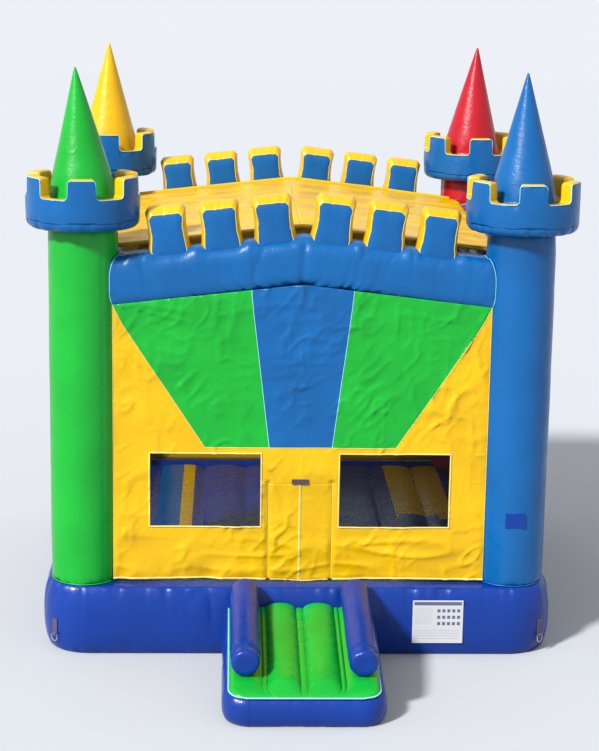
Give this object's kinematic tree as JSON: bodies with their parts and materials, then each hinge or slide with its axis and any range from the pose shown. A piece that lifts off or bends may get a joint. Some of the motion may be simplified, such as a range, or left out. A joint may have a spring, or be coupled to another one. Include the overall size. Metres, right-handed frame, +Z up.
{
  "type": "inflatable bounce house",
  "caption": "Inflatable castle with corner towers, crenellated gables, a netted jumping room, hinged entrance flaps and a padded step.",
  "frame": {"origin": "middle of the square base on the ground", "axes": "+Z up; the entrance and its step face -Y; +X is to the right of someone looking in"},
  "size_m": [4.162, 5.8303, 4.4583],
  "materials": {
    "royal_blue": "coated vinyl fabric, semi-gloss, stretched by the air inside",
    "sky_blue": "coated vinyl fabric, semi-gloss, stretched by the air inside",
    "green": "coated vinyl fabric, semi-gloss",
    "yellow": "coated vinyl fabric, semi-gloss",
    "red": "coated vinyl fabric, semi-gloss",
    "white": "printed vinyl sheet, matte",
    "net": "black knotless safety netting",
    "webbing": "dark woven webbing",
    "steel": "zinc-plated steel rod"
  },
  "bodies": {
    "house": {"base_bed": "royal_blue", "jump_floor": "royal_blue", "column_front_left": "green", "crown_front_left": "royal_blue", "spire_front_left": "green", "column_front_right": "sky_blue", "crown_front_right": "royal_blue", "spire_front_right": "sky_blue", "column_back_left": "yellow", "crown_back_left": "royal_blue", "spire_back_left": "yellow", "column_back_right": "red", "crown_back_right": "royal_blue", "spire_back_right": "red", "header_front": "sky_blue", "header_back": "sky_blue", "header_left": "sky_blue", "header_right": "sky_blue", "merlon_front_1": "sky_blue", "merlon_front_2": "sky_blue", "merlon_front_3": "sky_blue", "merlon_front_4": "sky_blue", "merlon_front_5": "sky_blue", "merlon_front_6": "sky_blue", "merlon_back_1": "sky_blue", "merlon_back_2": "sky_blue", "merlon_back_3": "sky_blue", "merlon_back_4": "sky_blue", "merlon_back_5": "sky_blue", "merlon_back_6": "sky_blue", "roof_left": "yellow", "roof_right": "yellow", "front_wall": "yellow", "fan_panel_middle": "sky_blue", "fan_panel_left": "green", "fan_panel_right": "green", "window_net_left": "net", "window_net_right": "net", "door_strap": "webbing", "back_wall": "net", "side_wall_left": "net", "side_wall_right": "net", "step_body": "royal_blue", "step_bed": "green", "bolster_left": "royal_blue", "bolster_right": "royal_blue", "notice_panel": "white", "tether_patch": "royal_blue", "anchor_strap_front_left": "webbing", "anchor_strap_front_right": "webbing", "anchor_strap_back_left": "webbing", "anchor_strap_back_right": "webbing", "inlet_sleeve": "royal_blue"},
    "door_left": {"door_flap_left": "yellow"},
    "door_right": {"door_flap_right": "yellow"},
    "ring_front_left": {"anchor_ring_front_left": "steel"},
    "ring_front_right": {"anchor_ring_front_right": "steel"},
    "ring_back_left": {"anchor_ring_back_left": "steel"},
    "ring_back_right": {"anchor_ring_back_right": "steel"},
    "vent": {"vent_flap": "royal_blue"}
  },
  "joints": [
    {"name": "door_left_hinge", "type": "hinge", "parent": "house", "child": "door_left", "pos_m": [-0.245, -1.8, 0.95], "axis": [0, 0, 1], "range_deg": [-90, 90]},
    {"name": "door_right_hinge", "type": "hinge", "parent": "house", "child": "door_right", "pos_m": [0.245, -1.8, 0.95], "axis": [0, 0, -1], "range_deg": [-90, 90]},
    {"name": "ring_front_left_hinge", "type": "hinge", "parent": "house", "child": "ring_front_left", "pos_m": [-1.8828, -1.8828, 0.14], "axis": [-0.7071, 0.7071, 0], "range_deg": [-15, 160]},
    {"name": "ring_front_right_hinge", "type": "hinge", "parent": "house", "child": "ring_front_right", "pos_m": [1.8828, -1.8828, 0.14], "axis": [-0.7071, -0.7071, 0], "range_deg": [-15, 160]},
    {"name": "ring_back_left_hinge", "type": "hinge", "parent": "house", "child": "ring_back_left", "pos_m": [-1.8828, 1.8828, 0.14], "axis": [0.7071, 0.7071, 0], "range_deg": [-15, 160]},
    {"name": "ring_back_right_hinge", "type": "hinge", "parent": "house", "child": "ring_back_right", "pos_m": [1.8828, 1.8828, 0.14], "axis": [0.7071, -0.7071, 0], "range_deg": [-15, 160]},
    {"name": "vent_hinge", "type": "hinge", "parent": "house", "child": "vent", "pos_m": [0.85, 1.9863, 0.33], "axis": [1, 0, 0], "range_deg": [0, 160]}
  ]
}
